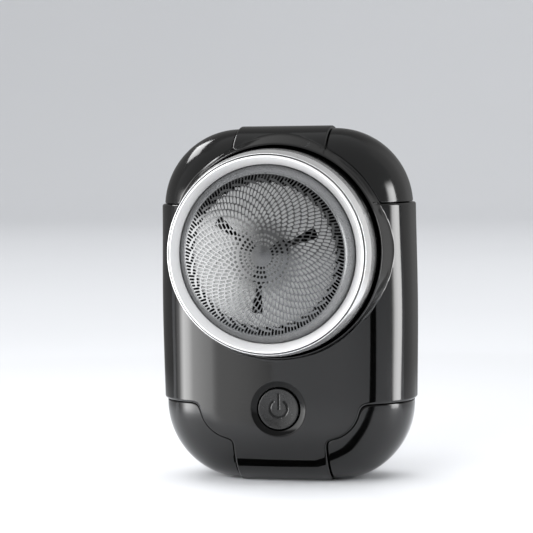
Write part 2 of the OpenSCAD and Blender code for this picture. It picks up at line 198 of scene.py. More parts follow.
def unroll(x, z, side):
    """Unrolled points of the places (x, z) on the case, seen from the front."""
    cu = np.clip(x, -CORE_X, CORE_X)
    cv = np.clip(z - MID_Z, -CORE_Z, CORE_Z)
    du = x - cu
    dv = z - MID_Z - cv
    r = np.hypot(du, dv)
    table_s, out, _, _ = TABLES[side]
    scale = np.interp(r, out, table_s) / np.maximum(r, 1e-9)
    return cu + du * scale, cv + dv * scale


def smooth_max(a, b, k):
    """The larger of a and b, rounded over where they are within k of each other."""
    h = np.maximum(k - np.abs(a - b), 0) / k
    return np.maximum(a, b) + h * h * k / 4


def shell_side(x, z, side):
    """Distance from the guards' outline: above zero on the shells, below zero under the guards."""
    ax = np.abs(x)
    upright = SEAM_X - ax
    low = z - SEAM_LOW
    low = smooth_max(low, NOSE_R - np.hypot(ax - NOSE_X, z - SEAM_LOW), 1.75)
    low = smooth_max(low, upright, 1.4)
    high = SEAM_HIGH - z
    if side == FRONT:
        high = smooth_max(high, COLLAR_R - np.hypot(x, z - HEAD_Z), 0.3)
        high = smooth_max(high, upright, 0.3)
    else:
        high = smooth_max(high, NOSE_R - np.hypot(ax - NOSE_X, z - SEAM_HIGH), 1.75)
        high = smooth_max(high, upright, 1.4)
    return np.where(z > MID_Z, high, low)


def rounded_drop(distance, radius):
    """How far a quarter-round edge falls at a distance in from the edge."""
    left = np.clip(radius - distance, 0, radius)
    return radius - np.sqrt(np.maximum(radius * radius - left * left, 0))


def bend_case(points):
    """The case's slight crown and bulging sides, which every case piece shares."""
    x, y, z = points[..., 0], points[..., 1], points[..., 2]
    share = np.clip((PART_Y - y) / (PART_Y - FRONT_Y), 0, 1)
    along = np.clip((z - MID_Z) / 22, -1, 1)
    side = np.clip((np.abs(x) - 20) / 4, 0, 1)
    bulge = SIDE_BULGE * np.cos(along * math.pi / 2) ** 2 * side * side * (3 - 2 * side)
    out = points.copy()
    out[..., 0] = x + np.sign(x) * bulge
    out[..., 1] = y + share * CROWN * (1 - np.exp(-(x / CROWN_X) ** 2))
    return out


def stand(points, foot, blend=0.25):
    """Cuts the case flat at its foot."""
    out = points.copy()
    out[..., 2] = smooth_max(points[..., 2], np.full_like(points[..., 2], foot), blend)
    return out


def crest_drop(r):
    """How far the collar's rounded edge falls at radius r, to either side of its crest."""
    inward = max(CREST_R - r, 0) / CREST_INNER_W
    outward = max(r - CREST_R, 0) / CREST_OUTER_W
    return CREST_INNER_DROP * inward ** CREST_POWER + CREST_OUTER_DROP * outward ** CREST_POWER


def collar_height(r):
    """How far the collar and its well stand in front of y = 0 at radius r from the head's axis."""
    slope = (-COLLAR_Y - CREST_OUTER_DROP + COLLAR_FOOT_Y) / (COLLAR_R - CREST_RADII[-1])
    radii = [0, WELL_R] + CREST_RADII + [COLLAR_R, COLLAR_R + 4]
    heights = [-DECK_Y, -DECK_Y] + [-COLLAR_Y - crest_drop(edge) for edge in CREST_RADII]
    heights += [-COLLAR_FOOT_Y, -COLLAR_FOOT_Y - 4 * slope]
    return np.interp(r, radii, heights)


def magnet_places():
    """Places (x, z) of the four magnets that hold the head."""
    angles = [math.radians(turn) for turn in (45, 135, 225, 315)]
    return [(MAGNET_RING_R * math.cos(a), HEAD_Z + MAGNET_RING_R * math.sin(a)) for a in angles]


def add_collar(points):
    """Raises the collar round the head and sinks its well."""
    x, y, z = points[..., 0], points[..., 1], points[..., 2]
    r = np.hypot(x, z - HEAD_Z)
    ring = collar_height(r)
    joined = smooth_max(-y, ring, COLLAR_BLEND)
    height = np.where(r < CREST_R, ring, joined)
    for mx, mz in magnet_places():
        m = np.hypot(x - mx, z - mz)
        pocket = np.interp(m, [0, MAGNET_HOLE_R - HOLE_STEP, MAGNET_HOLE_R], [MAGNET_DEPTH, MAGNET_DEPTH, 0])
        height = height - pocket
    out = points.copy()
    out[..., 1] = np.where(r < COLLAR_R + 3, -height, y)
    return out


def add_dish(points):
    """Sinks the bevelled dish round the button."""
    x, y, z = points[..., 0], points[..., 1], points[..., 2]
    r = np.hypot(x, z - BUTTON_Z)
    inward = np.clip((DISH_R - r) / (DISH_R - DISH_HOLE_R), -2, 1)
    dish = FRONT_Y + (DISH_Y - FRONT_Y) * inward * (1.3 - 0.3 * inward)
    dish = dish + rounded_drop(np.maximum(r - DISH_HOLE_R, 0), 0.05)
    out = points.copy()
    out[..., 1] = np.where(r < DISH_R + 2, smooth_max(y, dish, 0.06), y)
    return out


def shell_surface(u, v, side):
    """The outer surface of the front or the rear shell."""
    points, normals = base(u, v, side)
    edge = shell_side(points[..., 0], points[..., 2], side)
    wall = SHELL_EDGE_R + (REBATE - SHELL_EDGE_R) * np.clip(-edge / 0.04, 0, 1)
    drop = np.where(edge > 0, rounded_drop(edge, SHELL_EDGE_R), wall)
    drop = drop + rounded_drop(REACH[side] - split(u, v)[4], PART_EDGE_R)
    points = bend_case(points - drop[..., None] * normals)
    points = stand(points, 0.0)
    if side == FRONT:
        points = add_dish(add_collar(points))
    return points


def guard_surface(u, v, side):
    """The outer surface of the corner guards."""
    points, normals = base(u, v, side)
    edge = -GAP - shell_side(points[..., 0], points[..., 2], side)
    drop = RECESS + rounded_drop(edge, GUARD_EDGE_R)
    return stand(bend_case(points - drop[..., None] * normals), GUARD_FOOT, 0.2)


def inner_surface(depth, foot=-9.0):
    """A surface at an even depth under the plain case."""
    def surface(u, v, side):
        points, normals = base(u, v, side)
        return stand(bend_case(points - depth * normals), foot, 0.1)
    return surface


# ---------------------------------------------------------------- flat meshing

def circle_loop(cx, cz, r, count, side=None):
    """A closed loop of points round (cx, cz), unrolled if a side is given."""
    a = np.arange(count) * 2 * math.pi / count
    x = cx + r * np.cos(a)
    z = cz + r * np.sin(a)
    if side is None:
        return np.stack([x, z], 1)
    return np.stack(unroll(x, z, side), 1)


def outline_loop(s, spacing=0.8):
    """The loop at distance s from the core, with the same directions for every s."""
    turns = int(CORNER_R * math.pi / 2 / spacing * 1.4)
    across = int(2 * CORE_X / spacing)
    up = int(2 * CORE_Z / spacing)
    points = []
    corners = ((1, 1, 0, across), (-1, 1, 90, up), (-1, -1, 180, across), (1, -1, 270, up))
    for cu, cv, start, count in corners:
        for i in range(turns):
            a = math.radians(start + 90 * i / turns)
            points.append((cu * CORE_X + s * math.cos(a), cv * CORE_Z + s * math.sin(a)))
        a = math.radians(start + 90)
        far = {90: (-1, 1), 180: (-1, -1), 270: (1, -1), 360: (1, 1)}[start + 90]
        for i in range(count):
            f = i / count
            cx = CORE_X * (cu + (far[0] - cu) * f)
            cz = CORE_Z * (cv + (far[1] - cv) * f)
            points.append((cx + s * math.cos(a), cz + s * math.sin(a)))
    return np.array(points)


def settle(points, side, level, rounds=8):
    """Moves points onto the line at a distance of level from the guards' outline."""
    u, v = points[:, 0].copy(), points[:, 1].copy()

    def value(uu, vv):
        place, _ = base(uu, vv, side)
        return shell_side(place[:, 0], place[:, 2], side)

    h = 0.002
    for _ in range(rounds):
        f = value(u, v) - level
        gu = (value(u + h, v) - value(u - h, v)) / (2 * h)
        gv = (value(u, v + h) - value(u, v - h)) / (2 * h)
        g2 = np.maximum(gu * gu + gv * gv, 0.2)
        u -= f * gu / g2
        v -= f * gv / g2
    return np.stack([u, v], 1)


def seam_seeds(side, top):
    """Rough points along the outline of the right-hand guard, from the side of the case to its end."""
    reach = REACH[side] + 0.4
    seam = SEAM_HIGH if top else SEAM_LOW
    sign = 1 if top else -1
    level_v = seam - MID_Z
    angles = np.radians(np.arange(0, 91, 5))
    if side == FRONT and top:
        start = math.asin((seam - HEAD_Z) / COLLAR_R)
        stop = math.acos(SEAM_X / COLLAR_R)
        arc = np.arange(start, stop + 0.01, 0.025)
        x, z = COLLAR_R * np.cos(arc), HEAD_Z + COLLAR_R * np.sin(arc)
    else:
        x = NOSE_X + NOSE_R * np.cos(angles)
        z = seam + sign * NOSE_R * np.sin(angles)
    mid = np.stack(unroll(x, z, side), 1)
    level = np.arange(CORE_X + reach, mid[0, 0] + 0.3, -0.6)
    upright = np.arange(abs(mid[-1, 1]) + 0.3, CORE_Z + reach, 0.6)
    first = np.stack([level, np.full_like(level, level_v)], 1)
    last = np.stack([np.full_like(upright, SEAM_X), sign * upright], 1)
    return np.concatenate([first, mid, last])


def seam_line(side, top, level, mirror):
    """One line along a guard's outline, at a distance of level from it."""
    line = settle(seam_seeds(side, top), side, level)
    if mirror:
        line = line * np.array([-1, 1])
    return line


def hex_grid(low_u, high_u, low_v, high_v, spacing):
    """Points in staggered rows that fill a rectangle evenly."""
    rows = np.arange(low_v, high_v, spacing * math.sqrt(3) / 2)
    points = []
    for i, v in enumerate(rows):
        us = np.arange(low_u + (i % 2) * spacing / 2, high_u, spacing)
        points.append(np.stack([us, np.full_like(us, v)], 1))
    return np.concatenate(points)


def triangulate(loops, lines, fill, clear, keep):
    """Flat triangle mesh through closed loops, open lines and fill points.

    Fill points nearer than clear to a line are left out, and keep(centres) picks the triangles.
    """
    coords = []
    edges = []
    for line, closed in [(p, True) for p in loops] + [(p, False) for p in lines]:
        start = len(coords)
        coords.extend(map(tuple, line))
        n = len(line)
        edges.extend((start + i, start + i + 1) for i in range(n - 1))
        if closed:
            edges.append((start + n - 1, start))
    tree = KDTree(len(coords))
    for i, p in enumerate(coords):
        tree.insert((p[0], p[1], 0), i)
    tree.balance()
    for p in fill:
        if tree.find((p[0], p[1], 0))[2] > clear:
            coords.append(tuple(p))
    result = delaunay_2d_cdt([Vector(p) for p in coords], edges, [], 0, 1e-5)
    points = np.array([tuple(p) for p in result[0]])
    tris = np.array([tuple(f) for f in result[2] if len(f) == 3])
    centres = points[tris].mean(1)
    a = points[tris[:, 1]] - points[tris[:, 0]]
    b = points[tris[:, 2]] - points[tris[:, 0]]
    area = a[:, 0] * b[:, 1] - a[:, 1] * b[:, 0]
    picked = keep(centres) & (np.abs(area) > 1e-7)
    tris = tris[picked]
    flip = area[picked] < 0
    tris[flip] = tris[flip][:, ::-1]
    used = np.unique(tris)
    renumber = np.full(len(points), -1)
    renumber[used] = np.arange(len(used))
    return points[used], renumber[tris]


def surface_normals(surface, points, side, h=0.004):
    """Normals of a surface(u, v, side), by small steps."""
    u, v = points[:, 0], points[:, 1]
    along_u = surface(u + h, v, side) - surface(u - h, v, side)
    along_v = surface(u, v + h, side) - surface(u, v - h, side)
    n = np.cross(along_u, along_v) * (-side)
    length = np.linalg.norm(n, axis=1)
    return n / np.maximum(length, 1e-12)[:, None]


class Solid:
    """Vertices and faces in millimetres, with a normal for each face corner where one is known."""

    def __init__(self):
        self.verts = []
        self.faces = []
        self.normals = []

    def skin(self, points, tris, normals=None):
        """Adds a triangle mesh and returns the index of its first vertex."""
        start = len(self.verts)
        self.verts.extend(map(tuple, points))
        for tri in tris:
            self.faces.append(tuple(int(start + i) for i in tri))
            self.normals.append(None if normals is None else [tuple(normals[i]) for i in tri])
        return start

    def wall(self, edges, start_a, start_b):
        """Joins the same edges of two skins with four-sided faces."""
        for i, j in edges:
            self.faces.append((start_a + j, start_a + i, start_b + i, start_b + j))
            self.normals.append(None)


def border(tris):
    """Edges with one triangle only, in the triangle's direction."""
    seen = {}
    for tri in tris:
        for k in range(3):
            i, j = int(tri[k]), int(tri[(k + 1) % 3])
            seen[(i, j)] = True
    return [e for e in seen if (e[1], e[0]) not in seen]


def to_object(name, solid, material, body, sharp=math.radians(35), merge=0.0):
    """Makes a Blender object from a solid, in metres, riding on a body."""
    mesh = bpy.data.meshes.new(name)
    verts = np.array(solid.verts) * MM
    faces = solid.faces
    normals = solid.normals
    if merge:
        keys = {}
        index = []
        for p in np.round(verts / (merge * MM)).astype(int):
            index.append(keys.setdefault(tuple(p), len(keys)))
        first = {}
        for i, k in enumerate(index):
            first.setdefault(k, i)
        verts = verts[[first[k] for k in range(len(keys))]]
        kept = [(tuple(dict.fromkeys(index[i] for i in f)), n, f) for f, n in zip(faces, normals)]
        kept = [(f, n) for f, n, old in kept if len(f) == len(old)]
        faces = [f for f, _ in kept]
        normals = [n for _, n in kept]
    mesh.from_pydata([tuple(p) for p in verts], [], faces)
    mesh.validate(clean_customdata=False)
    mesh.update()
    mesh.shade_smooth()
    mesh.set_sharp_from_angle(angle=sharp)
    if any(n is not None for n in normals) and len(mesh.polygons) == len(faces):
        split_normals = [tuple(n.vector) for n in mesh.corner_normals]
        for poly, known in zip(mesh.polygons, normals):
            if known is not None:
                for corner, n in zip(poly.loop_indices, known):
                    split_normals[corner] = n
        mesh.normals_split_custom_set(split_normals)
    obj = bpy.data.objects.new(name, mesh)
    bpy.context.scene.collection.objects.link(obj)
    obj.data.materials.append(material)
    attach(obj, body)
    return obj


# ---------------------------------------------------------------- case pieces

def in_port(points):
    """True for unrolled points of the front shell inside the charging slot or the light's hole."""
    place, _ = base(points[:, 0], points[:, 1], FRONT)
    below = points[:, 1] < -CORE_Z
    x, y = place[:, 0], place[:, 1]
    half = (PORT_W - PORT_H) / 2
    slot = np.hypot(np.maximum(np.abs(x) - half, 0), y - PORT_Y) < PORT_H / 2
    light = np.hypot(x - LIGHT_X, y - PORT_Y) < LIGHT_R
    return below & (slot | light)


def foot_loop(xs, ys):
    """A loop given by x and y on the foot, unrolled on the front shell."""
    table_s, _, back, _ = TABLES[FRONT]
    s = np.interp(ys - FRONT_Y, back, table_s)
    return np.stack([xs, -CORE_Z - s], 1)


def port_loops():
    """Outlines of the charging slot and the light's hole in the foot."""
    a = np.radians(np.arange(-90, 91, 10))
    half = (PORT_W - PORT_H) / 2
    r = PORT_H / 2
    xs = np.concatenate([half + r * np.cos(a), -half - r * np.cos(a)])
    ys = np.concatenate([PORT_Y + r * np.sin(a), PORT_Y - r * np.sin(a)])
    b = np.radians(np.arange(0, 360, 15))
    light = foot_loop(LIGHT_X + LIGHT_R * np.cos(b), PORT_Y + LIGHT_R * np.sin(b))
    return [foot_loop(xs, ys), light]


def closed_skin(outer, inner, side, points, tris):
    """A solid between an outer and an inner surface over one flat mesh."""
    solid = Solid()
    order = tris if side == FRONT else tris[:, ::-1]
    u, v = points[:, 0], points[:, 1]
    a = solid.skin(outer(u, v, side), order, surface_normals(outer, points, side))
    b = solid.skin(inner(u, v, side), order[:, ::-1])
    solid.wall(border(order), a, b)
    return solid


def shell_mesh(side):
    """Flat mesh of a shell's surface, with lines where its shape turns."""
    reach = REACH[side]
    loops = [outline_loop(reach - d) for d in (0, 0.03, 0.08, 0.16)]
    lines = []
    for top in (False, True):
        for mirror in (False, True):
            for level in (-0.04, 0.0, 0.02, 0.08, 0.17, 0.28, 0.4, 0.5, 0.8):
                lines.append(seam_line(side, top, level, mirror))
    if side == FRONT:
        for r in (WELL_R, *CREST_RADII, 20.0, 20.3, 20.55, 20.7, 20.85, 21.0, 21.2, 21.5, 21.9):
            loops.append(circle_loop(0, HEAD_Z, r, 240, side))
        for r in (DISH_HOLE_R, 4.06, 4.08, 4.11, 4.35, 4.6, 4.8, 4.95, 5.05, 5.12, 5.18, 5.23, 5.3, 5.6):
            loops.append(circle_loop(0, BUTTON_Z, r, 96, side))
        loops.append(circle_loop(0, HEAD_Z, BUSH_HOLE_R, 48, side))
        for mx, mz in magnet_places():
            for r in (MAGNET_HOLE_R, MAGNET_HOLE_R - HOLE_STEP):
                loops.append(circle_loop(mx, mz, r, 40, side))
        loops.extend(port_loops())

    def keep(c):
        inside = split(c[:, 0], c[:, 1])[4] < reach - 1e-4
        if side == REAR:
            return inside
        place, _ = base(c[:, 0], c[:, 1], side)
        button = np.hypot(place[:, 0], place[:, 2] - BUTTON_Z) > DISH_HOLE_R - 0.004
        bush = np.hypot(place[:, 0], place[:, 2] - HEAD_Z) > BUSH_HOLE_R - 0.01
        return inside & button & bush & ~in_port(c)

    far_u = CORE_X + reach
    far_v = CORE_Z + reach
    fill = hex_grid(-far_u, far_u, -far_v, far_v, 0.85)
    fill = fill[split(fill[:, 0], fill[:, 1])[4] < reach - 0.4]
    return triangulate(loops, lines, fill, 0.42, keep)


def second_material(obj, material, chosen):
    """Gives the faces whose centre (in millimetres) is chosen a second material."""
    obj.data.materials.append(material)
    for face in obj.data.polygons:
        if chosen(face.center / MM):
            face.material_index = 1


def on_dish(centre):
    """Whether a point lies on the bevelled dish round the button."""
    r = math.hypot(centre.x, centre.z - BUTTON_Z)
    return centre.y < DISH_Y + 0.1 and DISH_HOLE_R - 0.05 < r < DISH_R


def shell(name, side, material):
    """The front or the rear shell, with its wall's thickness."""
    points, tris = shell_mesh(side)
    solid = closed_skin(shell_surface, inner_surface(WALL), side, points, tris)
    obj = to_object(name, solid, material, "housing")
    if side == FRONT:
        second_material(obj, dish_mat, on_dish)
    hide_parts(name)
    return obj


def guard_patch(side, top, mirror):
    """Flat mesh of one guard's front or rear half."""
    reach = REACH[side]
    sign_u = -1 if mirror else 1
    sign_v = 1 if top else -1
    lines = [seam_line(side, top, -GAP - d, mirror) for d in (0, 0.03, 0.09, 0.18, 0.32, 0.7)]
    loops = [outline_loop(reach), outline_loop(reach - 0.5)]

    def keep(c):
        place, _ = base(c[:, 0], c[:, 1], side)
        inside = split(c[:, 0], c[:, 1])[4] < reach - 1e-4
        corner = (c[:, 0] * sign_u > 0) & (c[:, 1] * sign_v > 0)
        return inside & corner & (shell_side(place[:, 0], place[:, 2], side) < -GAP + 0.002)

    us = sorted((sign_u * 5, sign_u * (CORE_X + reach)))
    vs = sorted((sign_v * 2, sign_v * (CORE_Z + reach)))
    fill = hex_grid(us[0], us[1], vs[0], vs[1], 0.75)
    fill = fill[split(fill[:, 0], fill[:, 1])[4] < reach - 0.4]
    return triangulate(loops, lines, fill, 0.36, keep)


def guard(name, top, mirror, material):
    """A corner guard: its front and rear halves, joined, with their thickness."""
    solid = Solid()
    under = inner_surface(REBATE - 0.06, GUARD_FOOT + 0.15)
    for side in (FRONT, REAR):
        points, tris = guard_patch(side, top, mirror)
        order = tris if side == FRONT else tris[:, ::-1]
        u, v = points[:, 0], points[:, 1]
        normals = surface_normals(guard_surface, points, side)
        a = solid.skin(guard_surface(u, v, side), order, normals)
        b = solid.skin(under(u, v, side), order[:, ::-1])
        open_edges = []
        for i, j in border(order):
            middle = (points[i] + points[j]) / 2
            if split(middle[0], middle[1])[4] < REACH[side] - 0.01:
                open_edges.append((i, j))
        solid.wall(open_edges, a, b)
    obj = to_object(name, solid, material, "housing", merge=0.004)
    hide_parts(name)
    return obj


# ---------------------------------------------------------------- turned pieces

TURN_COUNT = 256


def rounded_profile(points, radii, steps=4):
    """A closed outline with its corners rounded, by one radius for each corner."""
    n = len(points)
    out = []
    for i in range(n):
        p = np.array(points[i], float)
        a = np.array(points[i - 1], float) - p
        b = np.array(points[(i + 1) % n], float) - p
        la, lb = np.linalg.norm(a), np.linalg.norm(b)
        a, b = a / la, b / lb
        half = math.acos(max(-1, min(1, float(a @ b)))) / 2
        r = radii[i]
        reach = min(r / max(math.tan(half), 1e-6), 0.45 * la, 0.45 * lb)
        r = reach * math.tan(half)
        if r < 1e-4 or half > math.radians(88):
            out.append(tuple(p))
            continue
        middle = (a + b) / np.linalg.norm(a + b)
        centre = p + middle * r / math.sin(half)
        start = p + a * reach - centre
        stop = p + b * reach - centre
        a0 = math.atan2(start[1], start[0])
        turn = math.atan2(start[0] * stop[1] - start[1] * stop[0], float(start @ stop))
        for k in range(steps + 1):
            t = a0 + turn * k / steps
            out.append((centre[0] + r * math.cos(t), centre[1] + r * math.sin(t)))
    return out


def lathe(profile, count):
    """Turns a closed outline of (radius, y) points about the head's axis."""
    solid = Solid()
    n = len(profile)
    turning = sum(profile[i - 1][0] * profile[i][1] - profile[i][0] * profile[i - 1][1] for i in range(n))
    ordered = profile if turning > 0 else profile[::-1]
    for i in range(count):
        a = 2 * math.pi * i / count
        for r, y in ordered:
            solid.verts.append((r * math.cos(a), y, HEAD_Z + r * math.sin(a)))
    for i in range(count):
        j = (i + 1) % count
        for k in range(n):
            m = (k + 1) % n
            solid.faces.append((i * n + k, j * n + k, j * n + m, i * n + m))
            solid.normals.append(None)
    return solid


def turned_piece(name, profile, material):
    """A turned ring of the head, in place of the CAD node of the same name."""
    obj = to_object(name, lathe(profile, TURN_COUNT), material, "head")
    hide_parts(name)
    return obj


# ---------------------------------------------------------------- foil and blades

FOIL_R = foil_high.x
FOIL_RISE = 2.7
DOME_R = (FOIL_R ** 2 + FOIL_RISE ** 2) / (2 * FOIL_RISE)
DOME_Y = foil_low.y + DOME_R
SLOT_FOLD = 36
CHAIN_SLOTS = 19
FOIL_SKIN = 0.09
EDGE_SLOTS = ((13.725, 9.1), (13.625, 6.75), (13.425, 4.6), (13.2, 2.3))
EDGE_TOP_R = 14.36
EDGE_SLANT = 18.0


def foil_dome(r, drop=0.0):
    """Y of the foil's outer face at radius r, sunk by drop."""
    return DOME_Y - np.sqrt(np.maximum((DOME_R - drop) ** 2 - r * r, 0))


def slot_outline(r, angle, length, width, slant):
    """A rounded slot centred at a radius and angle, its long side slanted from the radial direction."""
    half_l, half_w = length / 2, width / 2
    c = min(half_w, half_l) * 0.55
    corners = [(half_l, half_w - c), (half_l - c * 0.35, half_w - c * 0.35), (half_l - c, half_w),
               (-half_l + c, half_w), (-half_l + c * 0.35, half_w - c * 0.35), (-half_l, half_w - c),
               (-half_l, -half_w + c), (-half_l + c * 0.35, -half_w + c * 0.35), (-half_l + c, -half_w),
               (half_l - c, -half_w), (half_l - c * 0.35, -half_w + c * 0.35), (half_l, -half_w + c)]
    a = math.radians(angle)
    s = a - math.radians(slant)
    along = (math.cos(s), math.sin(s))
    across = (-math.sin(s), math.cos(s))
    cx, cz = r * math.cos(a), r * math.sin(a)
    return np.array([(cx + p * along[0] + q * across[0], cz + p * along[1] + q * across[1])
                     for p, q in corners])


def foil_slots():
    """Outlines of every slot: an edge row, spiral chains and three rings round the hub."""
    slots = []
    pitch = 360 / SLOT_FOLD
    for j in range(SLOT_FOLD):
        turn = j * pitch + 4.2
        for bottom, ahead in EDGE_SLOTS:
            half = (EDGE_TOP_R - bottom) / 2
            lean = math.degrees(half * math.tan(math.radians(EDGE_SLANT)) / 14)
            slots.append(slot_outline(bottom + half, turn + ahead - lean, 2 * half / 0.95, 0.38, EDGE_SLANT))
        for n in range(CHAIN_SLOTS):
            r = 13.12 - 0.2 * n - 0.0145 * n * n
            angle = turn - 2.2 * n - 0.035 * n * n
            length = min(0.6 + 0.1 * n, 1.08, 0.5 + 0.14 * (CHAIN_SLOTS - 1 - n))
            slant = 20 + 0.3 * n + 38 * max(0, (n - 15) / 3) ** 1.5
            width = 0.4 + 0.07 * min(n / 10, 1)
            slots.append(slot_outline(r, angle, length, width, slant))
    hub_rings = ((3.78, 36, 0.5, 0.42, 20, 0), (2.93, 30, 0.5, 0.4, 10, 3), (2.12, 22, 0.46, 0.38, 10, 6))
    for r, count, length, width, slant, shift in hub_rings:
        for i in range(count):
            slots.append(slot_outline(r, shift + i * 360 / count, length, width, slant))
    return slots


def perforated_foil(material):
    """The foil dome with real slots through it."""
    slots = foil_slots()
    rim = [circle_loop(0, 0, r, 432) for r in (FOIL_R, FOIL_R - 0.05)]
    hub = [circle_loop(0, 0, r, 40) for r in (1.62, 1.2, 0.6)]
    tree = KDTree(len(slots))
    for i, slot in enumerate(slots):
        centre = slot.mean(0)
        tree.insert((centre[0], centre[1], 0), i)
    tree.balance()

    def in_polygon(p, poly):
        x, z = p
        hit = False
        n = len(poly)
        for i in range(n):
            x0, z0 = poly[i - 1]
            x1, z1 = poly[i]
            if (z0 > z) != (z1 > z) and x < (x1 - x0) * (z - z0) / (z1 - z0) + x0:
                hit = not hit
        return hit

    def keep(centres):
        picked = np.hypot(centres[:, 0], centres[:, 1]) < FOIL_R - 1e-4
        for k, c in enumerate(centres):
            if not picked[k]:
                continue
            for _, i, distance in tree.find_n((c[0], c[1], 0), 2):
                if distance < 0.75 and in_polygon(c, slots[i]):
                    picked[k] = False
                    break
        return picked

    points, tris = triangulate(slots + rim + hub, [], np.zeros((0, 2)), 0.1, keep)
    r = np.hypot(points[:, 0], points[:, 1])
    solid = Solid()

    def lift(drop):
        return np.stack([points[:, 0], foil_dome(r, drop), HEAD_Z + points[:, 1]], 1)

    top = lift(0.0)
    normals = top - np.array([0, DOME_Y, HEAD_Z])
    normals = normals / np.linalg.norm(normals, axis=1)[:, None]
    a = solid.skin(top, tris, normals)
    b = solid.skin(lift(FOIL_SKIN), tris[:, ::-1])
    solid.wall(border(tris), a, b)
    obj = to_object("shaving_foil_dome", solid, material, "head", sharp=math.radians(40))
    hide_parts("shaving_foil")
    return obj


BLADE_OUT_R = 13.05
BLADE_DROP = 0.5
BLADE_T = 0.45
BLADE_TURN = 23.0
BLADE_TEETH = 20
TOOTH_DEPTH = 0.32


def blade_gap(r):
    """Half the angle of the opening between two blades at radius r."""
    if r < 4.9:
        return 19.0
    if r > 10.4:
        return 0.0
    return math.degrees(float(np.interp(r, [5, 7, 9], [0.5, 0.6, 0.95])) / r)


def cutter_blades(material):
    """Three blades under the foil, with fine teeth round their outer edge."""
    solid = Solid()
    columns = BLADE_TEETH * 4
    radii = [1.75, 2.4, 3.2, 4.0, 4.88, 4.92, 5.6, 7.0, 8.5, 9.6, 10.38, 10.42, 11.2, 12.1, BLADE_OUT_R]
    rows = len(radii)
    for k in range(3):
        middle = BLADE_TURN + 60 + 120 * k
        starts = []
        for drop in (BLADE_DROP, BLADE_DROP + BLADE_T):
            starts.append(len(solid.verts))
            for r in radii:
                half = 60 - blade_gap(r)
                for c in range(columns + 1):
                    a = math.radians(middle - half + 2 * half * c / columns)
                    tooth = TOOTH_DEPTH if c % 4 in (1, 2) and r > 12 else 0.0
                    rr = r - tooth
                    y = float(foil_dome(np.array(rr), drop))
                    solid.verts.append((rr * math.cos(a), y, HEAD_Z + rr * math.sin(a)))
        width = columns + 1
        for i in range(rows - 1):
            for c in range(columns):
                p = i * width + c
                quad = (p, p + width, p + width + 1, p + 1)
                solid.faces.append(tuple(starts[0] + q for q in quad))
                solid.faces.append(tuple(starts[1] + q for q in quad[::-1]))
                solid.normals.extend([None, None])
        rim = [(c, c + 1) for c in range(columns)]
        rim += [(i * width + columns, (i + 1) * width + columns) for i in range(rows - 1)]
        rim += [((rows - 1) * width + c + 1, (rows - 1) * width + c) for c in reversed(range(columns))]
        rim += [((i + 1) * width, i * width) for i in reversed(range(rows - 1))]
        for i, j in rim:
            solid.faces.append((starts[0] + i, starts[0] + j, starts[1] + j, starts[1] + i))
            solid.normals.append(None)
    obj = to_object("cutter_blade_set", solid, material, "cutter", sharp=math.radians(30))
    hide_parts("cutter_blades")
    return obj


# ---------------------------------------------------------------- button

ICON_R = 1.62
ICON_W = 0.42
ICON_GAP = 38
ICON_DEPTH = 0.11
ICON_LIFT = 0.08
CAP_Y = -12.9
CAP_DISH = 0.24
CAP_FLAT_R = 3.5


def icon_distance(x, z):
    """Distance from the centre line of the power sign."""
    r = np.hypot(x, z)
    a = np.degrees(np.arctan2(x, z))
    ring = np.abs(r - ICON_R)
    end = math.radians(ICON_GAP)
    ex, ez = ICON_R * math.sin(end), ICON_R * math.cos(end)
    ends = np.hypot(np.abs(x) - ex, z - ez)
    ring = np.where(np.abs(a) < ICON_GAP, ends, ring)
    bar = np.hypot(x, z - np.clip(z, -0.05, 2.65))
    return np.minimum(ring, bar)


def cap_surface(u, v, _side):
    """The button cap's face: a shallow dish with an engraved sign and a rounded rim."""
    r = np.hypot(u, v)
    face = CAP_Y + CAP_DISH * np.clip(1 - (r / CAP_FLAT_R) ** 2, 0, 1)
    rim = rounded_drop(BUTTON_R - r, 0.12)
    d = icon_distance(u, v - ICON_LIFT)
    groove = ICON_DEPTH * np.clip((ICON_W / 2 + 0.08 - d) / 0.16, 0, 1)
    return np.stack([u, face + rim + groove, v + BUTTON_Z], -1)


def on_icon(centre):
    """Whether a point lies in the sign's groove."""
    d = icon_distance(centre.x, centre.z - BUTTON_Z - ICON_LIFT)
    return centre.y < CAP_Y + 0.6 and d < ICON_W / 2 - 0.06


def button_cap(material, icon_material):
    """The power button's cap, meshed finely enough for its sign's groove."""
    radii = (BUTTON_R, 3.747, 3.735, 3.715, 3.69, 3.66, 3.62, 3.5, 3.3, 3.05)
    loops = [circle_loop(0, 0, r, 120) for r in radii]
    fill = hex_grid(-3, 3, -3, 3, 0.055)
    fill = fill[np.hypot(fill[:, 0], fill[:, 1]) < 3]

    def keep(c):
        return np.hypot(c[:, 0], c[:, 1]) < BUTTON_R - 1e-4

    points, tris = triangulate(loops, [], fill, 0.03, keep)
    u, v = points[:, 0], points[:, 1]
    solid = Solid()
    top = cap_surface(u, v, FRONT)
    a = solid.skin(top, tris, surface_normals(cap_surface, points, FRONT))
    bottom = top.copy()
    bottom[:, 1] = cap_high.y - 0.8
    b = solid.skin(bottom, tris[:, ::-1])
    solid.wall(border(tris), a, b)
    obj = to_object("power_button_cap", solid, material, "power_button")
    second_material(obj, icon_material, on_icon)
    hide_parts("button_cap")
    return obj


# ---------------------------------------------------------------- materials

def new_material(name):
    """An empty node material with its shader, as (material, nodes, links, shader)."""
    mat = bpy.data.materials.new(name)
    mat.use_nodes = True
    tree = mat.node_tree
    shader = tree.nodes["Principled BSDF"]
    return mat, tree.nodes, tree.links, shader


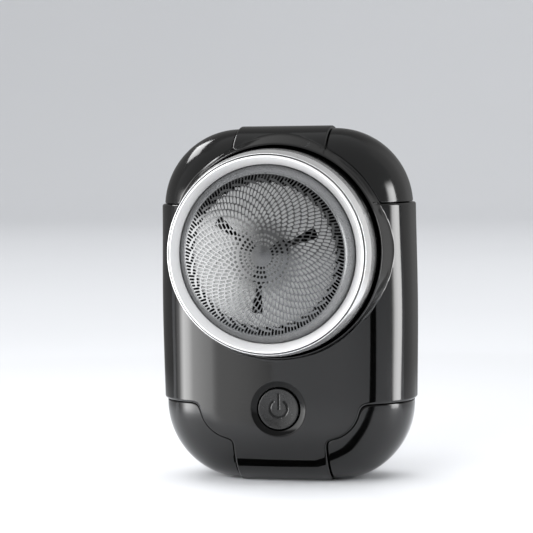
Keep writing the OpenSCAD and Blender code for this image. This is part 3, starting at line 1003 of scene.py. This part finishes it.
def noise(nodes, links, scale, detail=3.0, stretch=None):
    """A noise texture in object space, in metres."""
    coords = nodes.new("ShaderNodeTexCoord")
    tex = nodes.new("ShaderNodeTexNoise")
    tex.inputs["Scale"].default_value = scale
    tex.inputs["Detail"].default_value = detail
    source = coords.outputs["Object"]
    if stretch is not None:
        mapping = nodes.new("ShaderNodeMapping")
        mapping.inputs["Scale"].default_value = stretch
        links.new(source, mapping.inputs["Vector"])
        source = mapping.outputs["Vector"]
    links.new(source, tex.inputs["Vector"])
    return tex


def ramp(nodes, links, source, low, high, start=0.35, stop=0.65, smooth=False):
    """Maps a value from start to stop onto low to high, in a straight line or as a smooth step."""
    node = nodes.new("ShaderNodeMapRange")
    node.interpolation_type = "SMOOTHSTEP" if smooth else "LINEAR"
    node.inputs["From Min"].default_value = start
    node.inputs["From Max"].default_value = stop
    node.inputs["To Min"].default_value = low
    node.inputs["To Max"].default_value = high
    links.new(source, node.inputs["Value"])
    return node.outputs["Result"]


def tint(nodes, links, source, dark, light):
    """Mixes two colours by a value."""
    mix = nodes.new("ShaderNodeMix")
    mix.data_type = "RGBA"
    mix.inputs["A"].default_value = (*dark, 1)
    mix.inputs["B"].default_value = (*light, 1)
    links.new(source, mix.inputs["Factor"])
    return mix.outputs["Result"]


def grey(value):
    """A neutral colour."""
    return (value, value, value)


def bump(nodes, links, shader, source, distance):
    """Raises the surface by a value, at full strength."""
    node = nodes.new("ShaderNodeBump")
    node.inputs["Distance"].default_value = distance
    node.inputs["Strength"].default_value = 1.0
    links.new(source, node.inputs["Height"])
    links.new(node.outputs["Normal"], shader.inputs["Normal"])


def plastic(name, dark, light, rough, coat=0.0, grain=900.0, bump_mm=0.0008, specular=0.5):
    """Moulded or lacquered plastic with faint mottling, a fine grain and uneven gloss."""
    mat, nodes, links, shader = new_material(name)
    cloud = noise(nodes, links, 60.0)
    links.new(tint(nodes, links, cloud.outputs["Fac"], dark, light), shader.inputs["Base Color"])
    fine = noise(nodes, links, grain, 2.0)
    links.new(ramp(nodes, links, fine.outputs["Fac"], rough * 0.85, rough * 1.2), shader.inputs["Roughness"])
    shader.inputs["Specular IOR Level"].default_value = specular
    shader.inputs["Coat Weight"].default_value = coat
    shader.inputs["Coat Roughness"].default_value = 0.03
    shader.inputs["Coat IOR"].default_value = 1.42
    bump(nodes, links, shader, fine.outputs["Fac"], bump_mm * MM)
    return mat


def metal(name, dark, light, rough, grain=500.0, stretch=None, bump_mm=0.001, metallic=1.0):
    """Bare or plated metal with fine marks and uneven gloss. Less than 1 metallic mixes in a dull base."""
    mat, nodes, links, shader = new_material(name)
    shader.inputs["Metallic"].default_value = metallic
    fine = noise(nodes, links, grain, 4.0, stretch)
    links.new(tint(nodes, links, fine.outputs["Fac"], dark, light), shader.inputs["Base Color"])
    links.new(ramp(nodes, links, fine.outputs["Fac"], rough * 0.8, rough * 1.25), shader.inputs["Roughness"])
    bump(nodes, links, shader, fine.outputs["Fac"], bump_mm * MM)
    return mat


def windings(name, dark, light, rough, scale):
    """Enamelled copper wire or wound cells, shown as fine bands."""
    mat, nodes, links, shader = new_material(name)
    shader.inputs["Metallic"].default_value = 0.8
    coords = nodes.new("ShaderNodeTexCoord")
    wave = nodes.new("ShaderNodeTexWave")
    wave.inputs["Scale"].default_value = scale
    wave.inputs["Distortion"].default_value = 1.2
    links.new(coords.outputs["Object"], wave.inputs["Vector"])
    links.new(tint(nodes, links, wave.outputs["Fac"], dark, light), shader.inputs["Base Color"])
    fine = noise(nodes, links, 800.0)
    links.new(ramp(nodes, links, fine.outputs["Fac"], rough * 0.8, rough * 1.2), shader.inputs["Roughness"])
    bump(nodes, links, shader, wave.outputs["Fac"], 0.03 * MM)
    return mat


case_mat = plastic("case_gloss_black", grey(0.0008), grey(0.0016), 0.07)
guard_mat = plastic("guard_gloss_black", grey(0.0008), grey(0.0014), 0.11)
ring_mat = plastic("ring_piano_black", grey(0.0008), grey(0.0014), 0.05)
dish_mat = plastic("dish_satin_black", grey(0.0006), grey(0.001), 0.12,
                   grain=2600.0, bump_mm=0.0004, specular=0.24)
button_mat = plastic("button_satin", grey(0.003), grey(0.005), 0.3,
                     coat=0.25, grain=2600.0, bump_mm=0.002, specular=0.4)
icon_mat = plastic("icon_matt_black", grey(0.0008), grey(0.0014), 0.6,
                   grain=2600.0, bump_mm=0.002, specular=0.2)
seal_mat = plastic("seal_rubber", grey(0.016), grey(0.024), 0.7, grain=700.0, bump_mm=0.004)
black_mat = plastic("black_moulding", grey(0.012), grey(0.02), 0.5, grain=700.0, bump_mm=0.004)
white_mat = plastic("white_acetal", (0.72, 0.72, 0.70), (0.82, 0.82, 0.80), 0.42, grain=700.0, bump_mm=0.003)
magnet_mat = plastic("ferrite", (0.02, 0.02, 0.022), (0.035, 0.035, 0.037), 0.6, grain=500.0, bump_mm=0.004)
cell_mat = plastic("cell_shrink_wrap", (0.02, 0.10, 0.30), (0.03, 0.13, 0.36), 0.3,
                   coat=0.3, grain=400.0, bump_mm=0.003)
board_mat = plastic("board_solder_mask", (0.01, 0.10, 0.045), (0.02, 0.15, 0.07), 0.35,
                    coat=0.4, grain=600.0, bump_mm=0.004)
red_mat = plastic("red_wire", (0.42, 0.02, 0.02), (0.52, 0.03, 0.03), 0.4)
light_mat = plastic("frosted_light_pipe", (0.62, 0.64, 0.66), (0.74, 0.76, 0.78), 0.5)

satin_mat = metal("satin_chrome", (0.88, 0.88, 0.885), (0.93, 0.93, 0.935), 0.2,
                  grain=2500.0, bump_mm=0.0001, metallic=0.45)
band_mat = metal("polished_band", (0.82, 0.82, 0.825), (0.88, 0.88, 0.885), 0.16,
                 grain=2500.0, bump_mm=0.0001, metallic=0.8)
cup_mat = metal("satin_steel_cup", (0.15, 0.153, 0.156), (0.20, 0.203, 0.206), 0.3,
                grain=1500.0, stretch=(1, 6, 1), bump_mm=0.0015)
foil_mat = metal("foil_sheet_steel", (0.13, 0.132, 0.134), (0.17, 0.172, 0.174), 0.17, grain=1200.0)
blade_mat = metal("ground_blade_steel", (0.32, 0.323, 0.326), (0.39, 0.393, 0.396), 0.6,
                  grain=2500.0, stretch=(1, 4, 1), bump_mm=0.002, metallic=0.0)
screw_mat = metal("screw_steel", grey(0.5), (0.68, 0.68, 0.67), 0.3)
steel_mat = metal("motor_steel", (0.46, 0.47, 0.48), (0.62, 0.63, 0.64), 0.32, grain=400.0, stretch=(1, 8, 1))
nickel_mat = metal("nickel_plate", (0.66, 0.65, 0.62), (0.78, 0.77, 0.74), 0.2)
bush_mat = metal("sintered_bronze", (0.42, 0.27, 0.14), (0.55, 0.36, 0.2), 0.45, grain=2500.0, bump_mm=0.003)
copper_mat = windings("copper_windings", (0.36, 0.13, 0.05), (0.72, 0.32, 0.16), 0.35, 1400.0)

NODE_FINISH = {
    "case_seal": seal_mat, "case_screws": screw_mat, "inner_frame": white_mat, "frame_screws": screw_mat,
    "motor_can": steel_mat, "motor_magnets": magnet_mat, "motor_end_cap": white_mat, "motor_bush": bush_mat,
    "motor_screws": screw_mat, "shaft_seal": seal_mat, "battery_cell": cell_mat, "battery_tabs": nickel_mat,
    "battery_leads": red_mat, "motor_leads": black_mat, "control_board": board_mat,
    "board_screws": screw_mat, "tact_switch": black_mat, "charge_led": light_mat, "charge_light": light_mat,
    "charging_inlet": nickel_mat, "inlet_tongue": black_mat, "head_magnets": nickel_mat,
    "button_seal": seal_mat, "motor_shaft": steel_mat, "motor_armature": copper_mat,
    "drive_coupler": white_mat, "cutter_spring": screw_mat, "cutter_carrier": black_mat,
    "foil_retainer": black_mat, "keeper_ring": steel_mat, "switch_plunger": white_mat,
}


def finish_cad_nodes():
    """Gives each CAD node that stays its own finish."""
    for name, mat in NODE_FINISH.items():
        obj = frame["nodes"][name]
        if not obj.data.materials:
            obj.data.materials.append(mat)
        for i in range(len(obj.material_slots)):
            obj.material_slots[i].material = mat


# ---------------------------------------------------------------- build

def build_head():
    """The head's four turned rings, as outlines of (radius, y) with a radius for each corner."""
    turned_piece("head_base_ring", rounded_profile(
        [(17.0, -19.5), (17.9, -19.5), (17.9, -17.2), (18.8, -17.2), (19.05, -13.5), (18.3, -13.5),
         (18.3, -12.1), (17.3, -12.1), (17.3, -13.0), (14.8, -13.0), (14.8, -14.2), (17.0, -14.2)],
        [0, 0.05, 0.05, 0.1, 0.15, 0.1, 0.15, 0.05, 0.05, 0.1, 0.1, 0.05]), ring_mat)
    turned_piece("head_band", rounded_profile(
        [(17.92, -22.6), (18.06, -22.62), (18.62, -19.9), (18.79, -17.22), (17.95, -17.22), (17.92, -19.5)],
        [0.04, 0.08, 0.8, 0.06, 0.03, 0.03]), band_mat)
    turned_piece("head_bezel", rounded_profile(
        [(16.1, -21.5), (17.4, -23.12), (17.56, -23.12), (17.68, -22.85), (17.68, -19.5), (17.0, -19.5),
         (17.0, -20.2), (16.1, -20.2)],
        [0.05, 0.3, 0.08, 0.05, 0.03, 0.03, 0.03, 0.03]), satin_mat)
    turned_piece("foil_cup", rounded_profile(
        [(14.45, -23.9), (14.62, -23.92), (15.92, -21.6), (15.92, -20.2), (16.9, -20.2), (16.9, -19.8),
         (14.45, -19.8)],
        [0.03, 0.08, 0.1, 0.03, 0.05, 0.05, 0.03]), cup_mat)


def build():
    """Every piece that stands for a CAD node, then the finish of the nodes that stay."""
    shell("front_shell", FRONT, case_mat)
    shell("rear_shell", REAR, case_mat)
    guard("corner_guard_top_right", True, False, guard_mat)
    guard("corner_guard_top_left", True, True, guard_mat)
    guard("corner_guard_bottom_right", False, False, guard_mat)
    guard("corner_guard_bottom_left", False, True, guard_mat)
    build_head()
    perforated_foil(foil_mat)
    cutter_blades(blade_mat)
    button_cap(button_mat, icon_mat)
    finish_cad_nodes()


# ---------------------------------------------------------------- stage

FLOOR_LIFT = 0.0003


def stage_mesh(name, verts, faces, material):
    """A mesh object of the stage, from points in metres."""
    mesh = bpy.data.meshes.new(name)
    mesh.from_pydata(verts, [], faces)
    obj = bpy.data.objects.new(name, mesh)
    obj.data.materials.append(material)
    bpy.context.scene.collection.objects.link(obj)
    return obj


def hide_from_camera(obj, lights_up):
    """Leaves a card to reflections and, where lights_up is true, to the light on matt surfaces."""
    obj.visible_camera = False
    obj.visible_shadow = False
    obj.visible_diffuse = lights_up


def floor():
    """A pale floor that curves up into a backdrop."""
    mat, nodes, links, shader = new_material("pale_floor")
    cloud = noise(nodes, links, 3.0)
    links.new(tint(nodes, links, cloud.outputs["Fac"], (0.60, 0.61, 0.63), (0.64, 0.65, 0.67)),
              shader.inputs["Base Color"])
    shader.inputs["Roughness"].default_value = 0.6
    half = 2.5
    bend = 0.6
    back = 1.1
    section = [(-half, 0.0), (back, 0.0)]
    section += [(back + bend * math.sin(math.radians(a)), bend * (1 - math.cos(math.radians(a))))
                for a in range(6, 91, 6)]
    section += [(back + bend, 2.4)]
    verts = [(x, y, z) for x in (-half, half) for y, z in section]
    n = len(section)
    faces = [(i, i + n, i + n + 1, i + 1) for i in range(n - 1)]
    obj = stage_mesh("backdrop", verts, faces, mat)
    obj.data.shade_smooth()


def aim(obj, target):
    """Turns a light to face a point."""
    towards = Vector(target) - obj.location
    obj.rotation_euler = towards.to_track_quat("-Z", "Y").to_euler()


def direction(azimuth, elevation):
    """Unit vector at an azimuth from the front, positive to the right, and an elevation, in degrees."""
    a, e = math.radians(azimuth), math.radians(elevation)
    return Vector((math.sin(a) * math.cos(e), -math.cos(a) * math.cos(e), math.sin(e)))


def softbox(name, start, azimuth, elevation, distance, size, radiance):
    """A rectangular light of a given brightness, placed by its direction from a start point."""
    light = bpy.data.lights.new(name, "AREA")
    light.shape = "RECTANGLE"
    light.size, light.size_y = size
    light.energy = radiance * math.pi * size[0] * size[1]
    obj = bpy.data.objects.new(name, light)
    obj.location = Vector(start) + distance * direction(azimuth, elevation)
    bpy.context.scene.collection.objects.link(obj)
    aim(obj, start)
    return obj


def dark_reflection_card(name, verts, faces):
    """A black card outside the picture that casts no shadow and only reflections show, for a painted dark
    reflection.
    """
    mat, nodes, links, shader = new_material(name)
    cloud = noise(nodes, links, 30.0)
    links.new(tint(nodes, links, cloud.outputs["Fac"], grey(0.0), grey(0.0)), shader.inputs["Base Color"])
    shader.inputs["Roughness"].default_value = 1.0
    shader.inputs["Specular IOR Level"].default_value = 0.0
    obj = stage_mesh(name, verts, faces, mat)
    hide_from_camera(obj, False)


def calculate(nodes, links, operation, first, second):
    """A Math node fed by a socket and by another socket or a number."""
    node = nodes.new("ShaderNodeMath")
    node.operation = operation
    links.new(first, node.inputs[0])
    if isinstance(second, float):
        node.inputs[1].default_value = second
    else:
        links.new(second, node.inputs[1])
    return node.outputs[0]


def glow_material(name, stops, radius, height, floor_from):
    """Light whose brightness follows stops of (azimuth, radiance) about the card's own axis.

    It fades out towards the card's top edge and, on the floor, towards the shaver.
    """
    mat = bpy.data.materials.new(name)
    mat.use_nodes = True
    nodes, links = mat.node_tree.nodes, mat.node_tree.links
    nodes.clear()
    coords = nodes.new("ShaderNodeTexCoord")
    parts = nodes.new("ShaderNodeSeparateXYZ")
    links.new(coords.outputs["Object"], parts.inputs[0])
    front = calculate(nodes, links, "MULTIPLY", parts.outputs["Y"], -1.0)
    turn = calculate(nodes, links, "ARCTAN2", parts.outputs["X"], front)
    first, last = stops[0][0], stops[-1][0]
    place = ramp(nodes, links, turn, 0.0, 1.0, math.radians(first), math.radians(last))
    curve = nodes.new("ShaderNodeValToRGB")
    top = max(level for _, level in stops)
    elements = curve.color_ramp.elements
    elements[1].position = 1.0
    elements[1].color = (*grey(stops[-1][1] / top), 1)
    elements[0].color = (*grey(stops[0][1] / top), 1)
    for azimuth, level in stops[1:-1]:
        element = elements.new((azimuth - first) / (last - first))
        element.color = (*grey(level / top), 1)
    links.new(place, curve.inputs["Fac"])
    flat = nodes.new("ShaderNodeCombineXYZ")
    links.new(parts.outputs["X"], flat.inputs["X"])
    links.new(parts.outputs["Y"], flat.inputs["Y"])
    reach = nodes.new("ShaderNodeVectorMath")
    reach.operation = "LENGTH"
    links.new(flat.outputs[0], reach.inputs[0])
    near = ramp(nodes, links, reach.outputs["Value"], 0.0, 1.0, floor_from, radius * 0.9, smooth=True)
    rise = ramp(nodes, links, parts.outputs["Z"], 1.0, 0.0, height * 0.75, height, smooth=True)
    cover = calculate(nodes, links, "MULTIPLY", near, rise)
    emission = nodes.new("ShaderNodeEmission")
    emission.inputs["Strength"].default_value = top
    links.new(curve.outputs["Color"], emission.inputs["Color"])
    clear = nodes.new("ShaderNodeBsdfTransparent")
    blend = nodes.new("ShaderNodeMixShader")
    links.new(cover, blend.inputs[0])
    links.new(clear.outputs[0], blend.inputs[1])
    links.new(emission.outputs[0], blend.inputs[2])
    output = nodes.new("ShaderNodeOutputMaterial")
    links.new(blend.outputs[0], output.inputs["Surface"])
    return mat


def glow_wall(name, axis, radius, height, stops, floor_from, lights_up=True):
    """A curved softbox or grey wall standing about an axis point, outside the picture.

    It also covers the floor inwards to floor_from, where it has faded to nothing.
    """
    first, last = stops[0][0], stops[-1][0]
    count = 24
    verts = []
    for i in range(count + 1):
        out = direction(first + (last - first) * i / count, 0)
        near = out * floor_from
        verts += [(near.x, near.y, FLOOR_LIFT), (out.x * radius, out.y * radius, FLOOR_LIFT)]
        verts += [(out.x * radius, out.y * radius, height)]
    faces = [(3 * i + 1, 3 * i + 4, 3 * i + 5, 3 * i + 2) for i in range(count)]
    faces += [(3 * i, 3 * i + 3, 3 * i + 4, 3 * i + 1) for i in range(count)]
    obj = stage_mesh(name, verts, faces, glow_material(name, stops, radius, height, floor_from))
    obj.location = (axis[0], axis[1], 0)
    hide_from_camera(obj, lights_up)


def world():
    """A dim, nearly neutral sky."""
    world_data = bpy.data.worlds.new("studio")
    bpy.context.scene.world = world_data
    world_data.use_nodes = True
    background = world_data.node_tree.nodes["Background"]
    background.inputs["Color"].default_value = (0.98, 0.99, 1.0, 1)
    background.inputs["Strength"].default_value = 0.5


# Stops of the light cards: azimuth in degrees and radiance
LEFT_GLOW = [(-96, 0.35), (-86, 2), (-75, 11), (-65, 10), (-55, 6), (-22, 4), (-16, 2), (-7, 1)]
BACK_LEFT_GLOW = [(-179.9, 0.2), (-130, 0.22), (-110, 0.3), (-100, 0.35)]
BACK_RIGHT_GLOW = [(105, 0.6), (140, 0.5), (160, 0.25), (179.9, 0.2)]
RIGHT_GLOW = [(79, 0.7), (82, 4), (85, 9.5), (92, 12), (99, 11), (101, 6)]


def lights():
    """Curved softboxes at the sides, grey walls behind, and lights in front, behind and overhead."""
    glow_wall("left_softbox", (-0.012, -0.008), 0.125, 0.090, LEFT_GLOW, 0.040)
    glow_wall("right_softbox", (0.014, -0.006), 0.125, 0.115, RIGHT_GLOW, 0.100)
    glow_wall("back_left", (0, 0), 0.22, 0.42, BACK_LEFT_GLOW, 0.025, False)
    glow_wall("back_right", (0, 0), 0.22, 0.42, BACK_RIGHT_GLOW, 0.025, False)
    fill = softbox("front_fill", (0, 0, 0.03), -25, 25, 0.7, (0.5, 0.5), 4.8)
    fill.visible_glossy = False
    softbox("rim_light", (-0.016, -0.002, 0.058), -127, 38, 0.20, (0.085, 0.05), 6)
    overhead = softbox("top_softbox", (0, 0, 0), 180, 88, 1.3, (1.6, 1.5), 3.0)
    overhead.visible_glossy = False


# The black strip on the floor, seen only in reflections as painted shade, in millimetres: its path, least
# half-width and widening
STRIP_PATH = ((-10, -11), (6, -11), (14, -15.5), (60, -62), (230, -213))
STRIP_HALF = 1.2
STRIP_WIDENING = 0.09
STRIP_END_HEIGHT = 0.12


def paint_dark_reflections():
    """A black strip on the floor, from the shaver's front out to the right, with a standing end: painted
    shade under the front and a painted dark stripe, which only reflections show.
    """
    verts = []
    last = len(STRIP_PATH) - 1
    for i, (x, y) in enumerate(STRIP_PATH):
        before = Vector(STRIP_PATH[max(i - 1, 0)])
        after = Vector(STRIP_PATH[min(i + 1, last)])
        along = (after - before).normalized()
        half = max(STRIP_HALF, STRIP_WIDENING * math.hypot(x, y))
        for side in (half, -half):
            verts.append(((x - along.y * side) * MM, (y + along.x * side) * MM, FLOOR_LIFT))
    faces = [(2 * i, 2 * i + 1, 2 * i + 3, 2 * i + 2) for i in range(last)]
    verts += [(x, y, STRIP_END_HEIGHT) for x, y, _ in verts[-2:]]
    n = len(verts)
    faces.append((n - 4, n - 3, n - 1, n - 2))
    dark_reflection_card("painted_reflection_strip", verts, faces)


CAMERA_AZIMUTH = 11.47
CAMERA_ELEVATION = 3.74
CAMERA_ROLL = -0.75
CAMERA_DISTANCE = 397.04
CAMERA_TARGET = (-4.48, 0.0, 39.73)


def camera():
    """The camera at the photograph's viewing angle."""
    data = bpy.data.cameras.new("camera")
    obj = bpy.data.objects.new("camera", data)
    bpy.context.scene.collection.objects.link(obj)
    data.sensor_width = 36.0
    data.lens = 141.84
    data.clip_start = 0.01
    data.clip_end = 20.0
    back = direction(CAMERA_AZIMUTH, CAMERA_ELEVATION)
    obj.location = (Vector(CAMERA_TARGET) + back * CAMERA_DISTANCE) * MM
    obj.rotation_mode = "QUATERNION"
    turn = (-back).to_track_quat("-Z", "Y")
    obj.rotation_quaternion = turn @ Quaternion((0, 0, 1), math.radians(CAMERA_ROLL))
    bpy.context.scene.camera = obj


build()
floor()
world()
lights()
# Painted shade and a painted dark stripe: a black strip that only reflections show
paint_dark_reflections()
camera()
bpy.context.scene.view_settings.view_transform = "Standard"
